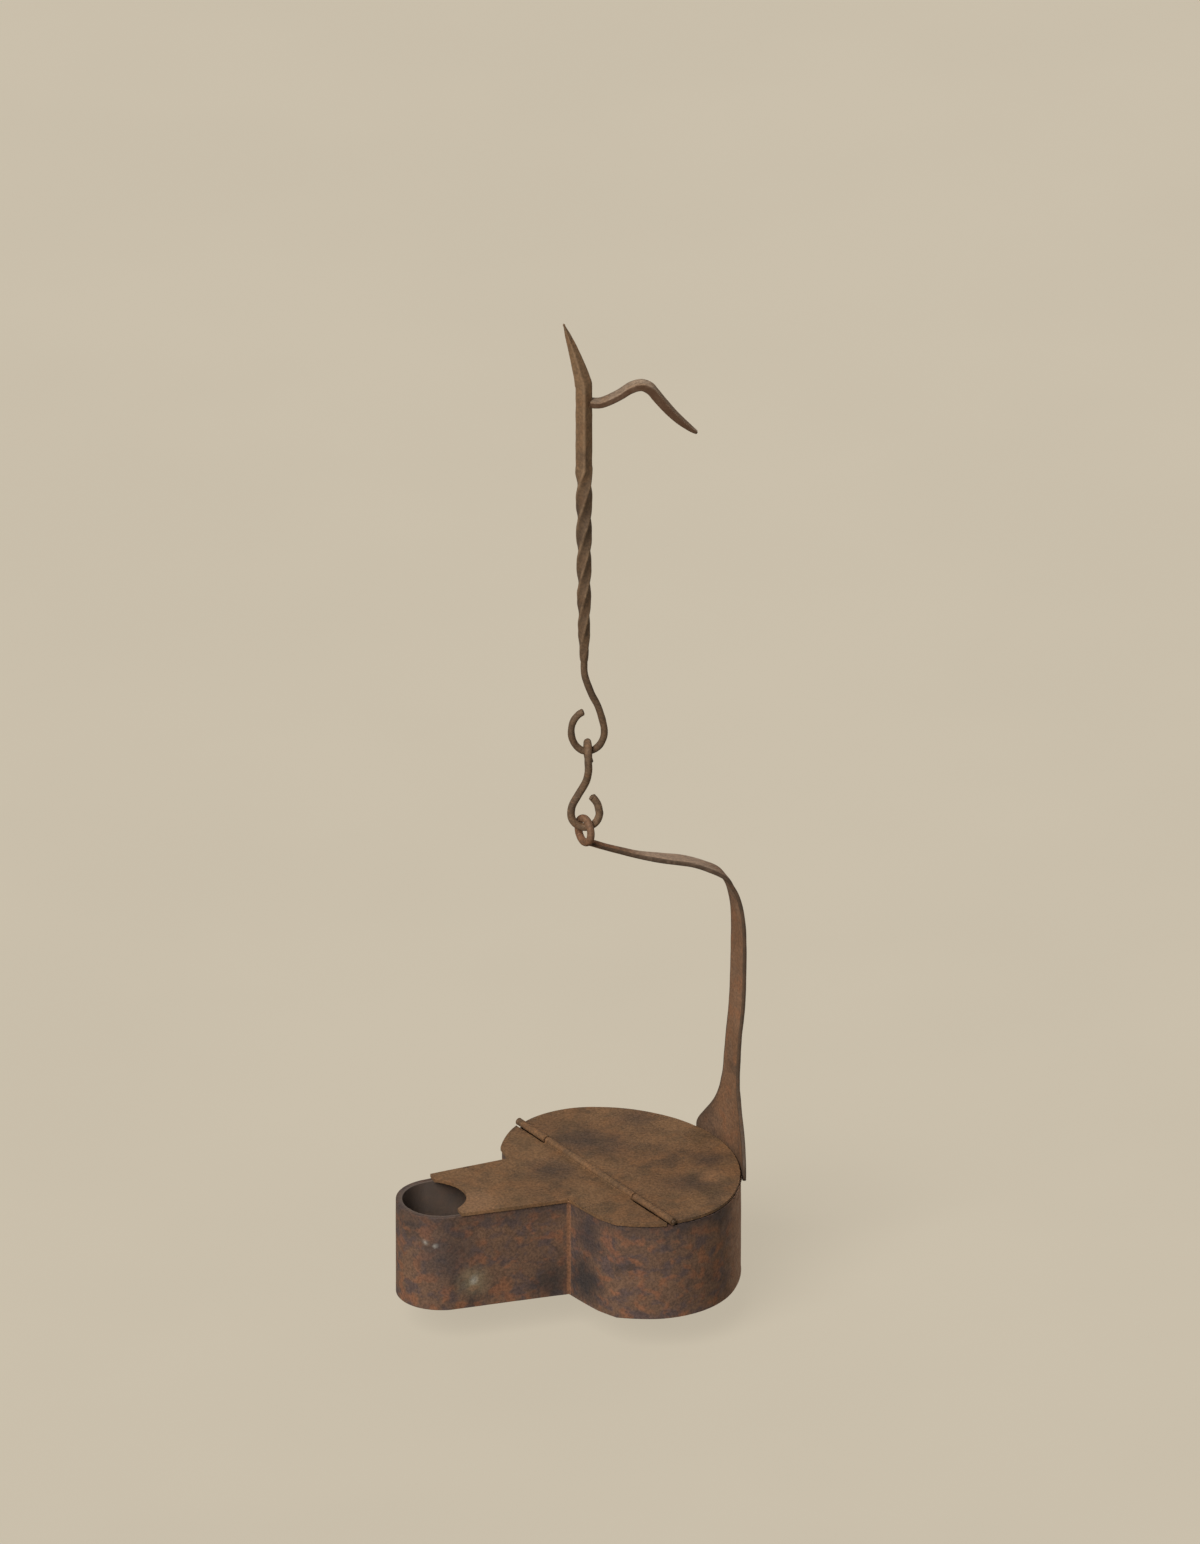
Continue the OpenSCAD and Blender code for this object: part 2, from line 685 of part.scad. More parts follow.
module hanger_bar() color(bar_iron) in_hanger() {
    spike_steps = 10;
    spike_curve = 1.2;
    bar_steps = 4;
    twist_steps = 56;
    neck_steps = 5;
    hook_steps = 34;
    // The hook runs from where the neck joins it, down, round and up to its tip
    hook_from = 22;
    hook_turn = 278;
    hook = [for (i = [0:hook_steps]) let (a = hook_from - hook_turn * i / hook_steps)
        [hook_w * cos(a), 0, hook_h + hook_h * sin(a)]];
    spike = [for (i = [spike_steps:-1:1]) let (s = i / spike_steps)
        [bar_x - spike_lean * pow(s, spike_curve), 0, bar_top + spike_len * s]];
    bar = [for (i = [0:bar_steps]) [bar_x, 0, bar_top - bar_len * i / bar_steps]];
    twist = [for (i = [1:twist_steps]) [bar_x, 0, bar_foot - twist_len * i / twist_steps]];
    neck_keys = [twist[twist_steps - 1], [bar_x + hook_w * 0.04, 0, neck_h * 0.85],
                 [bar_x + hook_w * 0.4, 0, neck_h * 0.66], [hook_w * 0.68, 0, hook_h * 2.1], hook[0], hook[2]];
    neck = trim(smooth(neck_keys, neck_steps), 1, (len(neck_keys) - 2) * neck_steps - 1);
    path = concat(spike, bar, twist, neck, hook);
    sizes = concat(
        [for (i = [spike_steps:-1:1]) let (h = spike_half(i / spike_steps)) [h, h, bar_sq, edge_turn]],
        [for (p = bar) [bar_half(p.z), bar_half(p.z), bar_sq, edge_turn]],
        [for (p = twist) let (share = (bar_foot - p.z) / twist_len)
            [bar_half(p.z), bar_half(p.z), bar_sq + (round_sq - bar_sq) * pow(share, 4), bar_turn(p.z)]],
        [for (p = concat(neck, hook)) [wire_r, wire_r, round_sq, bar_turn(0)]]);
    difference() {
        union() {
            sweep(path, sizes, [0, 1, 0]);
            bearing([0, 90, 0]);
        }
        arm_slot();
    }
}

// Side arm

arm_z = bar_top - arm_drop;
// Half width of the bar from edge to edge, less the depth of the seat
arm_root_x = bar_x + bar_side * 0.66 - arm_seat;

// A key on the arm: share of its reach, height over its root, shares of its thickness and width
function side_key(reach, up, thick, wide) =
    [arm_reach * reach, arm_z + up, arm_t / 2 * thick, arm_w / 2 * wide];

// The arm runs out of its seat, rises over a bend and falls to its tip
arm_keys = [[arm_root_x, arm_z, arm_t / 2, arm_w / 2],
            side_key(0.13, -0.02 * arm_rise, 1, 1),
            side_key(0.28, 0.4 * arm_rise, 1.05, 1),
            side_key(0.39, 0.84 * arm_rise, 1.15, 1),
            side_key(0.49, arm_rise, 1.25, 1),
            side_key(0.57, 0.77 * arm_rise, 1.45, 1),
            side_key(0.62, 0.38 * arm_rise, 1.45, 1),
            side_key(0.7, -0.13 * arm_fall, 1.35, 1),
            side_key(0.77, -0.38 * arm_fall, 1.2, 0.95),
            side_key(0.85, -0.63 * arm_fall, 1, 0.85),
            side_key(0.945, -0.88 * arm_fall, 0.7, 0.6),
            side_key(1, -arm_fall, 0.45, 0.35)];

module arm_slot() {
    weld_gap = 0.05;
    translate([arm_root_x - weld_gap, -bar_side, arm_z - arm_t])
        cube([bar_side, 2 * bar_side, 2 * arm_t]);
}

module side_arm() color(bar_iron) in_hanger() {
    arm = smooth(arm_keys, 4);
    sweep([for (k = arm) [k[0], 0, k[1]]], [for (k = arm) [k[2], k[3], strap_sq, 0]], [0, 1, 0]);
}

hanger_bar();
side_arm();
link();
handle();
handle_rivets();
drum_wall();
spout_wall();
floor_plate();
front_cover();
lid();
hinge_pin();
wick_support();
wick_support_rivet();
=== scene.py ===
"""Looks of a hanging grease lamp of forged and sheet iron.

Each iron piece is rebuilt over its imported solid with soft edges, hammer marks and a rust material.
Lengths in the shape code are millimetres; meshes are written in metres.
"""

import math

import bmesh
import bpy
import numpy as np
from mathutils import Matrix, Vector, noise


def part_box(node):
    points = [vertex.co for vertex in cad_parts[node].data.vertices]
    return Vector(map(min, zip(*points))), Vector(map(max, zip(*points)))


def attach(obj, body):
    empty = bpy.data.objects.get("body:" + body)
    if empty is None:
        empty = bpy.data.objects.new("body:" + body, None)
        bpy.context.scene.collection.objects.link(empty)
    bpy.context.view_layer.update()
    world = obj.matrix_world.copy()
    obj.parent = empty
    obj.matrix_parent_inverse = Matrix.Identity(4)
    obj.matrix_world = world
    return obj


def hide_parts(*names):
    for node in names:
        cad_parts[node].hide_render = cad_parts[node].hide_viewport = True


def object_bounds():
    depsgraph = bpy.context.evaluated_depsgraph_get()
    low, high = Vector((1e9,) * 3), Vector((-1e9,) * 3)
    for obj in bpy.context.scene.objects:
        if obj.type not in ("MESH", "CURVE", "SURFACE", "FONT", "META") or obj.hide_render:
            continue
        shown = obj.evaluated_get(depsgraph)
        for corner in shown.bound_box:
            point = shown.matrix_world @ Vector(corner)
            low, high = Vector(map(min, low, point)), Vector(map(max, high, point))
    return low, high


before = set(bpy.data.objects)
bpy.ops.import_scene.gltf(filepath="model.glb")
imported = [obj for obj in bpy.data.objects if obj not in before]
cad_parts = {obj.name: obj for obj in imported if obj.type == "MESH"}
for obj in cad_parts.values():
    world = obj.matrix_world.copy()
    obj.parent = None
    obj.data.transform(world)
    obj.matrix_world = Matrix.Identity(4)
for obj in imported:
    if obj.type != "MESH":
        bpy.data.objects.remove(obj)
cad_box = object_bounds()

MM = 0.001
UP = np.array([0.0, 0.0, 1.0])
ACROSS = np.array([0.0, 1.0, 0.0])

# Sizes that the swept pieces share with the solids
WIRE_R = 1.15
HOOK_STEP = 2.65
BAR_SIDE = 4.0
BAR_X = -1.1
BAR_FOOT = 93.0
BAR_TOP = 119.5
TWIST_LEN = 63.5
TWIST_TURNS = 1.5
NECK_H = 29.5
HOOK_W = 4.9
HOOK_H = 6.6
SPIKE_LEN = 20.7
SPIKE_LEAN = 6.0
ARM_REACH = 32.2
ARM_DROP = 5.2
ARM_RISE = 5.2
ARM_FALL = 10.8
ARM_W = 4.2
ARM_T = 1.9
ARM_SEAT = 0.9
LINK_LEN = 25.0
LINK_HOOK_W = 4.2
LINK_HOOK_H = 4.6
LINK_SHIFT = 0.75
LINK_TAIL = 5.2
TAIL_LEAN = 0.8
HANGER_TURN = math.radians(-16)
DRUM_W = 81.6
DRUM_D = 67.8
END_R = 26.4
SKEW = math.radians(15)
STRAP_W = 11.4
STRAP_T = 1.5
FOOT_GAP = 0.1
FOOT_HALF_W = 17.4
FOOT_LOW = -27.5
WING_Z = -2.8
UNDER_R = 12.0
TONGUE_W = 11.0
TONGUE_R = 3.0
FLARE_R = 30.0
FLARE_Z = 28.0
FLARE_HALF = 0.45 * STRAP_W
STRAP_FOOT = 0.75 * FLARE_Z
LEAN_OUT = 1.9
CORNER_Z = 91.0
CORNER_IN = 3.2
ARM_BOW = 0.9
EYE_X = 11.23
EYE_Z = 116.4
EYE_R = 3.7
EYE_SLOPE = math.radians(93)
EYE_TURN = math.radians(10)
SPOUT_LEN = 56.9
SPOUT_ROOT_W = 30.8
SPOUT_TIP_W = 26.6
SPOUT_WALL_T = 2.1
FRONT_REACH = 25.4

# The back of the oval drum is an arc about this centre, and the handle's foot lies on it
SIDE_R = ((DRUM_W / 2) ** 2 + (DRUM_D / 2) ** 2 - DRUM_W * END_R) / (DRUM_D - 2 * END_R)
BACK_IN = SIDE_R - DRUM_D / 2
BACK_MID = np.array([-BACK_IN * math.cos(SKEW), -BACK_IN * math.sin(SKEW)])
FOOT_R = SIDE_R + FOOT_GAP + STRAP_T / 2
STRAP_X = BACK_MID[0] + math.sqrt(FOOT_R ** 2 - BACK_MID[1] ** 2)

# Places of the hanger's frame and the lamp's frame, from the spike's tip
SPIKE_TIP_X = BAR_X - SPIKE_LEAN
HOOK_ALONG = np.array([math.cos(HANGER_TURN), math.sin(HANGER_TURN), 0.0])
HANG = -SPIKE_TIP_X * HOOK_ALONG - UP * (BAR_TOP + SPIKE_LEN)
LAMP = HANG - HOOK_ALONG * LINK_SHIFT + np.array([EYE_X, 0.0, HOOK_STEP - LINK_LEN - EYE_Z])


def in_hanger(points):
    """Points of the hanger's frame, in the part's frame."""
    c, s = math.cos(HANGER_TURN), math.sin(HANGER_TURN)
    turn = np.array([[c, -s, 0], [s, c, 0], [0, 0, 1]])
    return np.asarray(points) @ turn.T + HANG


def in_lamp(points):
    """Points of the lamp's frame, in the part's frame."""
    return np.asarray(points) + LAMP


# Curves and skins


def unit(v):
    """The direction of a vector, as a vector of length 1."""
    return v / np.linalg.norm(v)


def smooth(keys, steps):
    """A smooth curve through all the keys, with some steps between each pair."""
    keys = np.asarray(keys, float)
    last = len(keys) - 1
    points = []
    for i in range(last):
        a, b, c, d = keys[max(i - 1, 0)], keys[i], keys[i + 1], keys[min(i + 2, last)]
        for j in range(steps):
            t = j / steps
            points.append(0.5 * (2 * b + (c - a) * t + (2 * a - 5 * b + 4 * c - d) * t * t
                                 + (3 * b - a - 3 * c + d) * t ** 3))
    points.append(keys[last])
    return np.array(points)


def headings(path, closed=False):
    """Direction of a path at each of its points."""
    if closed:
        ahead, behind = np.roll(path, -1, 0), np.roll(path, 1, 0)
    else:
        ahead = np.vstack([path[1:], path[-1:]])
        behind = np.vstack([path[:1], path[:-1]])
    step = ahead - behind
    return step / np.linalg.norm(step, axis=1)[:, None]


def outline(count, squareness):
    """A ring of (thick, wide) shares, from a circle at squareness 2 to nearly a square."""
    turn = np.arange(count) * 2 * math.pi / count
    c, s = np.cos(turn), np.sin(turn)
    reach = (np.abs(c) ** squareness + np.abs(s) ** squareness) ** (-1 / squareness)
    return np.column_stack([reach * c, reach * s])


def narrow_side_shade(shares, start):
    """Painted shade of a flat bar: 1 along its two narrow edges, from a share of the half width outward."""
    fade = 0.06
    return np.clip((np.abs(shares[:, 1]) - start) / fade, 0, 1)


def corner_band(shares):
    """Wear of a square bar: 1 along its corners, which reach further out than its faces."""
    start, fade = 1.12, 0.22
    return np.clip((np.linalg.norm(shares, axis=1) - start) / fade, 0, 1)


def grain(point, size):
    """Smooth noise between 0 and 1 with lumps of about a size in millimetres."""
    return 0.5 + 0.5 * noise.noise(Vector(point) / size)


class Skin:
    """Rings of points joined into one closed skin, with a value of wear or of painted shade at each point."""

    def __init__(self, count):
        self.count = count
        self.points = []
        self.wear_and_shade = []
        self.faces = []

    def ring(self, points, wear_and_shade):
        """Adds one ring of points and their wear or painted shade."""
        self.points.extend(points)
        self.wear_and_shade.extend(wear_and_shade)

    def close(self, first, rings, looped=False):
        """Faces over a run of rings that starts at a ring, capped unless it is looped."""
        n = self.count
        spans = rings if looped else rings - 1
        for i in range(spans):
            here, there = (first + i) * n, (first + (i + 1) % rings) * n
            for k in range(n):
                after = (k + 1) % n
                self.faces.append((here + k, here + after, there + after, there + k))
        if not looped:
            self.faces.append(tuple(first * n + k for k in reversed(range(n))))
            self.faces.append(tuple((first + rings - 1) * n + k for k in range(n)))

    def rings(self):
        """Number of rings so far."""
        return len(self.points) // self.count


# Dents of a bar are no deeper than this share of its half thickness
DEEPEST = 0.3
# Squareness of hammered wire, a little over a circle's 2
WIRE_SQ = 2.3


def sweep(skin, path, sizes, ref, closed=False, dent=0.0, dent_size=3.0, flat=False):
    """Adds a bar along a path. Sizes hold [half thick, half wide, squareness, turn] for each point."""
    flat_edge_start = 0.92
    first = skin.rings()
    along = headings(path, closed)
    for p, way, (thick, wide, squareness, turn) in zip(path, along, sizes):
        e1 = unit(np.cross(ref, way))
        e2 = np.cross(way, e1)
        shares = outline(skin.count, squareness)
        u, w = shares[:, 0] * thick, shares[:, 1] * wide
        c, s = math.cos(turn), math.sin(turn)
        points = p + np.outer(u * c - w * s, e1) + np.outer(u * s + w * c, e2)
        # Flat bars carry painted shade on their narrow sides, square bars wear on their corners
        wear_and_shade = narrow_side_shade(shares, flat_edge_start) if flat else corner_band(shares)
        for k, q in enumerate(points):
            sunk = dent * grain(q, dent_size)
            points[k] = q - unit(q - p) * min(sunk, DEEPEST * thick)
        skin.ring(points, wear_and_shade)
    skin.close(first, len(path), closed)


def with_blunt_ends(path, sizes, blunt):
    """The path and sizes with one more ring at either end, which rounds the ends off."""
    thin_share, flat_share, flat_ratio = 0.72, 0.9, 1.5
    path, sizes = list(path), [list(s) for s in sizes]
    for end, inner in ((0, 1), (-1, -2)):
        back = unit(path[inner] - path[end])
        tip, tip_size = path[end], sizes[end]
        is_flat = tip_size[1] >= flat_ratio * tip_size[0]
        wide_share = flat_share if is_flat else thin_share
        ring = [tip_size[0] * thin_share, tip_size[1] * wide_share, tip_size[2], tip_size[3]]
        path[end] = tip + back * blunt
        place = 0 if end == 0 else len(path)
        path.insert(place, tip)
        sizes.insert(place, ring)
    return np.array(path), np.array(sizes)


def piece(name, node, body, points, faces, wear_and_shade, material):
    """A new piece from points in millimetres, which stands for a CAD node."""
    mesh = bpy.data.meshes.new(name)
    mesh.from_pydata([tuple(p * MM) for p in points], [], faces)
    mesh.update()
    bm = bmesh.new()
    bm.from_mesh(mesh)
    bmesh.ops.recalc_face_normals(bm, faces=bm.faces)
    bm.to_mesh(mesh)
    bm.free()
    mesh.attributes.new("wear_and_shade", "FLOAT", "POINT").data.foreach_set("value", np.asarray(wear_and_shade, np.float32))
    return dressed(mesh, name, node, body, material)


def dressed(mesh, name, node, body, material):
    """An object for a finished mesh, on its body and with its material."""
    mesh.polygons.foreach_set("use_smooth", [True] * len(mesh.polygons))
    mesh.materials.clear()
    mesh.materials.append(material)
    obj = bpy.data.objects.new(name, mesh)
    bpy.context.scene.collection.objects.link(obj)
    weighted = obj.modifiers.new("face_weighted_normals", "WEIGHTED_NORMAL")
    weighted.keep_sharp = True
    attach(obj, body)
    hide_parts(node)
    return obj


# Materials


class Surface:
    """A material's node tree, with short ways to add noise, ranges, mixes and stains to it."""

    def __init__(self, name):
        self.material = bpy.data.materials.new(name)
        self.material.use_nodes = True
        self.tree = self.material.node_tree
        self.shader = self.tree.nodes["Principled BSDF"]
        self.place = self.add("ShaderNodeTexCoord").outputs["Object"]

    def add(self, kind, **values):
        """A new node with some of its values set."""
        node = self.tree.nodes.new(kind)
        for key, value in values.items():
            setattr(node, key, value)
        return node

    def join(self, output, socket):
        """Links an output to an input."""
        self.tree.links.new(output, socket)

    def noise(self, size, detail=4.0, rough=0.6, swirl=0.0, shift=0.0, stretch=(1, 1, 1)):
        """Noise whose lumps are about a size in millimetres."""
        mapping = self.add("ShaderNodeMapping")
        mapping.inputs["Location"].default_value = (shift, shift * 0.7, -shift)
        mapping.inputs["Scale"].default_value = stretch
        self.join(self.place, mapping.inputs["Vector"])
        node = self.add("ShaderNodeTexNoise")
        node.inputs["Scale"].default_value = 1 / (size * MM)
        node.inputs["Detail"].default_value = detail
        node.inputs["Roughness"].default_value = rough
        node.inputs["Distortion"].default_value = swirl
        self.join(mapping.outputs["Vector"], node.inputs["Vector"])
        return node.outputs["Fac"]

    def span(self, value, low, high, to_low=0.0, to_high=1.0):
        """A value taken from one range to another, smoothly and with its ends held."""
        node = self.add("ShaderNodeMapRange", interpolation_type="SMOOTHSTEP")
        node.inputs["From Min"].default_value = low
        node.inputs["From Max"].default_value = high
        node.inputs["To Min"].default_value = to_low
        node.inputs["To Max"].default_value = to_high
        self.join(value, node.inputs["Value"])
        return node.outputs["Result"]

    def math(self, operation, a, b):
        """The result of an operation on two sockets or numbers."""
        node = self.add("ShaderNodeMath", operation=operation)
        for socket, value in zip(node.inputs, (a, b)):
            if isinstance(value, (int, float)):
                socket.default_value = value
            else:
                self.join(value, socket)
        return node.outputs["Value"]

    def mix(self, share, a, b, blend="MIX"):
        """One colour blended over another by a share."""
        node = self.add("ShaderNodeMix", data_type="RGBA", blend_type=blend)
        sockets = {s.identifier: s for s in node.inputs}
        for key, value in (("Factor_Float", share), ("A_Color", a), ("B_Color", b)):
            if isinstance(value, tuple):
                sockets[key].default_value = (*value, 1)
            elif isinstance(value, (int, float)):
                sockets[key].default_value = value
            else:
                self.join(value, sockets[key])
        return next(s for s in node.outputs if s.identifier == "Result_Color")

    def near(self, point, inner, outer, ragged, upright):
        """1 within a distance of a point or of an upright line, falling to 0 at another distance."""
        keep = self.add("ShaderNodeVectorMath", operation="MULTIPLY")
        keep.inputs[1].default_value = (1, 1, 0 if upright else 1)
        self.join(self.place, keep.inputs[0])
        node = self.add("ShaderNodeVectorMath", operation="DISTANCE")
        node.inputs[1].default_value = (point[0] * MM, point[1] * MM, 0 if upright else point[2] * MM)
        self.join(keep.outputs["Vector"], node.inputs[0])
        ragged_size = 4.5
        wander = self.math("MULTIPLY", self.noise(ragged_size), 2 * ragged * MM)
        distance = self.math("ADD", node.outputs["Value"], wander)
        return self.span(distance, (inner + ragged) * MM, (outer + ragged) * MM, 1.0, 0.0)

    def height(self, low, high):
        """0 below a height of the part's frame in millimetres and 1 above another."""
        split = self.add("ShaderNodeSeparateXYZ")
        self.join(self.place, split.inputs["Vector"])
        return self.span(split.outputs["Z"], low * MM, high * MM)


# Tones of the stains
SOOT = (0.1, 0.073, 0.056)
SMUDGE = (0.05, 0.032, 0.022)
DEEP = (0.024, 0.02, 0.019)
SEAM_ORANGE = (0.22, 0.1, 0.048)
PALE = (0.33, 0.31, 0.27)


class Mark:
    """A stain, or a patch of painted light or shade, on a rust material, round a point or an upright line in
    the part's frame.

    It is full within the inner reach and gone at the outer one, and its outline wanders by the ragged length.
    """

    def __init__(self, point, inner, outer, tone, share, ragged=2.0, upright=False):
        self.place = (point, inner, outer, ragged, upright)
        self.tone = tone
        self.share = share


def rust(name, mid, light, dark, orange, cool, edge, shares, patch, rim=None, marks=(),
         rubbed_and_shaded_span=(0.15, 0.8)):
    """Rusted iron.

    Shares are those of the dark, orange and cool patches, whose size is in millimetres. The rim holds two
    heights between which the iron darkens, which on the walls and the handle's foot is painted shade under
    the plates' edge. The rubbed and shaded span holds the least and most share of the edge colour, which is
    rubbed wear on most pieces and painted shade on the narrow sides of the flat bars.
    """
    rim_share, soot_share = 0.55, 0.8
    fine_shade, fine_light = (0.7, 0.7, 0.7), (1.28, 1.27, 1.25)
    dull, duller, gloss = 0.62, 0.86, 0.3
    pit_strength, pit_depth = 0.5, 0.25
    fine_weight, warm_weight, finest_weight = 0.35, 0.7, 0.16
    # Sizes of the lumps in millimetres
    broad_size, blotch_size, sheen_size, chip_size, fine_size, finest_size = 26, 15, 3, 2.5, 0.8, 0.35
    cool_patch = 1.2 * patch
    flattened = (1, 1, 1.2)
    dark_share, orange_share, cool_share = shares
    r = Surface(name)
    broad = r.noise(broad_size, detail=5, swirl=0.5, shift=0.31)
    colour = r.mix(r.span(broad, 0.36, 0.64), mid, light)
    blotch = r.noise(blotch_size, detail=5, rough=0.62, swirl=0.9, shift=1.7)
    colour = r.mix(r.span(blotch, 0.5, 0.68, 0, dark_share), colour, dark)
    grey = r.noise(cool_patch, detail=3, rough=0.5, swirl=0.2, shift=5.3, stretch=flattened)
    colour = r.mix(r.span(grey, 0.46, 0.64, 0, cool_share), colour, cool)
    warm = r.noise(patch, detail=2, rough=0.45, swirl=0.2, shift=2.9, stretch=flattened)
    colour = r.mix(r.span(warm, 0.5, 0.66, 0, orange_share), colour, orange)
    if rim:
        colour = r.mix(r.math("MULTIPLY", r.height(*rim), rim_share), colour, dark)
    for mark in marks:
        colour = r.mix(r.math("MULTIPLY", r.near(*mark.place), mark.share), colour, mark.tone)
    fine = r.noise(fine_size, rough=0.7, shift=7.1)
    speckle = r.mix(r.span(fine, 0.32, 0.68), fine_shade, fine_light)
    colour = r.mix(1.0, colour, speckle, "MULTIPLY")
    # The edge colour goes on the rubbed edges of most pieces, and on the narrow sides of the flat bars as
    # painted shade
    rubbed_and_shaded = r.add("ShaderNodeAttribute", attribute_name="wear_and_shade").outputs["Fac"]
    chipped = r.span(r.noise(chip_size, rough=0.7, shift=3.3), 0.35, 0.62, *rubbed_and_shaded_span)
    worn_and_shaded = r.math("MULTIPLY", rubbed_and_shaded, chipped)
    burnt = r.add("ShaderNodeAttribute", attribute_name="soot").outputs["Fac"]
    colour = r.mix(r.math("MULTIPLY", burnt, soot_share), colour, SOOT)
    colour = r.mix(worn_and_shaded, colour, edge)
    r.join(colour, r.shader.inputs["Base Color"])

    rough = r.span(r.noise(sheen_size, shift=9.2), 0.3, 0.7, dull, duller)
    r.join(rough, r.shader.inputs["Roughness"])
    r.shader.inputs["Specular IOR Level"].default_value = gloss

    finest = r.noise(finest_size, detail=2, rough=0.5, shift=4.4)
    scale = r.math("ADD", r.math("MULTIPLY", fine, fine_weight), r.math("MULTIPLY", warm, warm_weight))
    scale = r.math("ADD", scale, r.math("MULTIPLY", finest, finest_weight))
    bump = r.add("ShaderNodeBump")
    bump.inputs["Strength"].default_value = pit_strength
    bump.inputs["Distance"].default_value = pit_depth * MM
    r.join(scale, bump.inputs["Height"])
    r.join(bump.outputs["Normal"], r.shader.inputs["Normal"])
    return r.material


# Heights over the lid between which the walls and the foot darken toward the plates' edge, as painted shade
# under that edge
WALL_SHADE_RIM = (-8, -1.2)
FOOT_SHADE_RIM = (5, -0.5)
# Corner of drum and spout on the near side, and the middle of the spout's round end
NEAR_CORNER = (-22.0, -15.5, 0)
SPOUT_END = (-SPOUT_LEN, 0, 0)

# Stains, and patches of painted light and shade, by place, inner and outer reach, tone, share and raggedness,
# in the lamp's frame
wall_marks = [
    # Painted light: the drum's right end, which lies in shade, is made lighter
    Mark(in_lamp((36, -22, 0)), 9, 24, (0.28, 0.155, 0.093), 0.85, 3.0, upright=True),
    Mark(in_lamp((-27, -15.3, -27)), 1, 10, DEEP, 0.85, 3.0),
    Mark(in_lamp((-18, -22, -24)), 2, 11, DEEP, 0.9, 3.0),
    Mark(in_lamp((-18, -23, -9)), 1, 10, (0.038, 0.029, 0.028), 0.85, 3.0),
    Mark(in_lamp((-60, -13, -14)), 2, 14, (0.05, 0.036, 0.032), 0.75, 3.0),
    Mark(in_lamp(NEAR_CORNER), 0.2, 1.1, SEAM_ORANGE, 0.75, 0.4, upright=True),
    Mark(in_lamp((-51.4, -13.6, -23.3)), 0, 7, (0.2, 0.17, 0.1), 0.55, 2.0),
    Mark(in_lamp((-51.2, -13.6, -23)), 0, 2.4, PALE, 0.5, 1.2),
    Mark(in_lamp((-65.4, -10.2, -9.6)), 0, 1.7, PALE, 0.6, 1.6),
    Mark(in_lamp((-62.8, -11.7, -10.4)), 0, 1.2, PALE, 0.55, 1.4),
    Mark(in_lamp(SPOUT_END), 10.9, 11.3, SOOT, 0.9, 0.1, upright=True)]
plate_marks = [
    Mark(in_lamp((-20, 4, 0)), 0, 11, SMUDGE, 0.7, 5.0),
    Mark(in_lamp((-4.5, 18.8, 0)), 0, 13, SMUDGE, 0.75, 5.0),
    Mark(in_lamp((4, 12, 0)), 0, 9, SMUDGE, 0.45, 4.0),
    Mark(in_lamp((25.7, -6.3, 0)), 0, 9, SMUDGE, 0.75, 4.0),
    Mark(in_lamp((14, -18, 0)), 0, 10, SMUDGE, 0.6, 4.0),
    Mark(in_lamp((15, 28, 0)), 0, 10, SMUDGE, 0.6, 4.0),
    Mark(in_lamp((23, -16, 0)), 0, 6, (0.24, 0.12, 0.055), 0.6, 3.0),
    Mark(in_lamp((-50, -8, 0)), 2, 12, (0.22, 0.118, 0.058), 0.6, 4.0)]

bar_rust = rust(
    "bar_rust", mid=(0.155, 0.088, 0.043), light=(0.185, 0.11, 0.056), dark=(0.045, 0.027, 0.016),
    orange=(0.17, 0.085, 0.037), cool=(0.105, 0.07, 0.041), edge=(0.23, 0.145, 0.08),
    shares=(0.6, 0.4, 0.4), patch=4.0, rim=(HANG[2] + BAR_FOOT + 2, HANG[2] + BAR_FOOT - 10))
# Painted shade: the dark edge colour darkens the arm's narrow sides below its pale top face
arm_rust = rust(
    "arm_rust", mid=(0.23, 0.155, 0.1), light=(0.28, 0.195, 0.13), dark=(0.1, 0.06, 0.035),
    orange=(0.2, 0.11, 0.053), cool=(0.17, 0.12, 0.085), edge=(0.075, 0.036, 0.017),
    shares=(0.5, 0.4, 0.4), patch=4.0, rubbed_and_shaded_span=(0.8, 1.0),
    marks=[Mark(in_hanger((25, 0, 110)), 6, 12, (0.125, 0.07, 0.036), 0.75)])
wire_rust = rust(
    "wire_rust", mid=(0.125, 0.074, 0.04), light=(0.155, 0.093, 0.05), dark=(0.05, 0.032, 0.02),
    orange=(0.155, 0.075, 0.034), cool=(0.088, 0.062, 0.041), edge=(0.19, 0.12, 0.07),
    shares=(0.6, 0.45, 0.35), patch=3.5)
# Painted shade: the dark edge colour on the strap's narrow sides, and the darkening of the foot below the
# lid's edge
strap_rust = rust(
    "strap_rust", mid=(0.145, 0.073, 0.036), light=(0.18, 0.095, 0.05), dark=(0.068, 0.04, 0.024),
    orange=(0.195, 0.083, 0.036), cool=(0.11, 0.069, 0.043), edge=(0.06, 0.037, 0.022),
    shares=(0.6, 0.55, 0.35), patch=6.0, rubbed_and_shaded_span=(0.75, 1.0),
    rim=(LAMP[2] + FOOT_SHADE_RIM[0], LAMP[2] + FOOT_SHADE_RIM[1]),
    marks=[Mark(in_lamp((18, 0, 100)), 8, 19, (0.3, 0.205, 0.135), 0.8),
           # Painted shade in the foot's hollow where it meets the lid's edge
           Mark(in_lamp((30, 12, 6)), 0, 10, (0.06, 0.037, 0.024), 0.7)])
